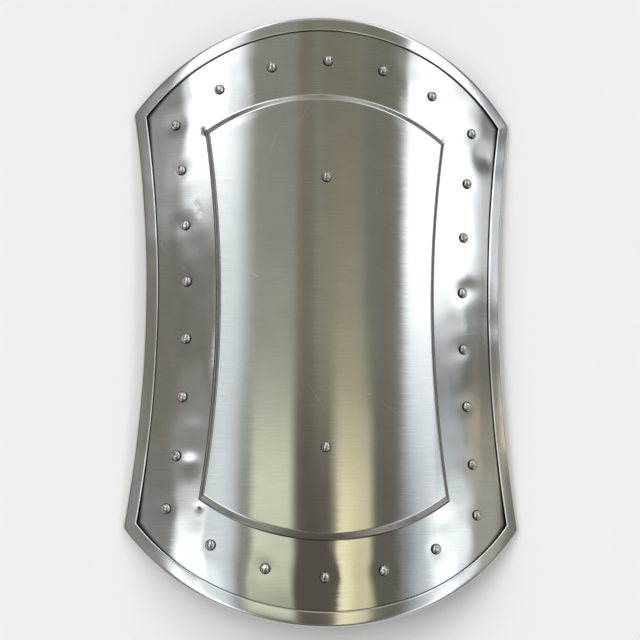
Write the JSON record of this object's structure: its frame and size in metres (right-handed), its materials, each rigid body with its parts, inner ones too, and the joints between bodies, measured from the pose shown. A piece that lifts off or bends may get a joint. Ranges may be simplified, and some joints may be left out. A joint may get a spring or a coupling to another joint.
{
  "type": "rectangular buckler",
  "caption": "Small hand shield: a rolled steel plate with bowed ends, hollow sides and a raised panel, in a folded rim, studded with round-headed rivets, with a bar grip behind.",
  "frame": {"origin": "centre of the underside of the bounding box, in the plane of the rim's four lowest corners, on which the buckler lies", "axes": "+Z out of the domed front, +Y along the long axis towards the upper end, +X to the right as seen from the front"},
  "size_m": [0.2902, 0.45, 0.0471],
  "materials": {
    "plate_steel": "satin, brushed across the width, lightly scratched",
    "rim_steel": "polished, brushed along the strip",
    "rivet_steel": "hammered and polished",
    "grip_steel": "forged and wire brushed"
  },
  "bodies": {
    "root": {"shield_plate": "plate_steel", "rim_binding": "rim_steel", "hand_grip": "grip_steel", "border_rivet_01": "rivet_steel", "border_rivet_02": "rivet_steel", "border_rivet_03": "rivet_steel", "border_rivet_04": "rivet_steel", "border_rivet_05": "rivet_steel", "border_rivet_06": "rivet_steel", "border_rivet_07": "rivet_steel", "border_rivet_08": "rivet_steel", "border_rivet_09": "rivet_steel", "border_rivet_10": "rivet_steel", "border_rivet_11": "rivet_steel", "border_rivet_12": "rivet_steel", "border_rivet_13": "rivet_steel", "border_rivet_14": "rivet_steel", "border_rivet_15": "rivet_steel", "border_rivet_16": "rivet_steel", "border_rivet_17": "rivet_steel", "border_rivet_18": "rivet_steel", "border_rivet_19": "rivet_steel", "border_rivet_20": "rivet_steel", "border_rivet_21": "rivet_steel", "border_rivet_22": "rivet_steel", "border_rivet_23": "rivet_steel", "border_rivet_24": "rivet_steel", "border_rivet_25": "rivet_steel", "border_rivet_26": "rivet_steel", "grip_rivet_top": "rivet_steel", "grip_rivet_bottom": "rivet_steel"}
  },
  "joints": []
}
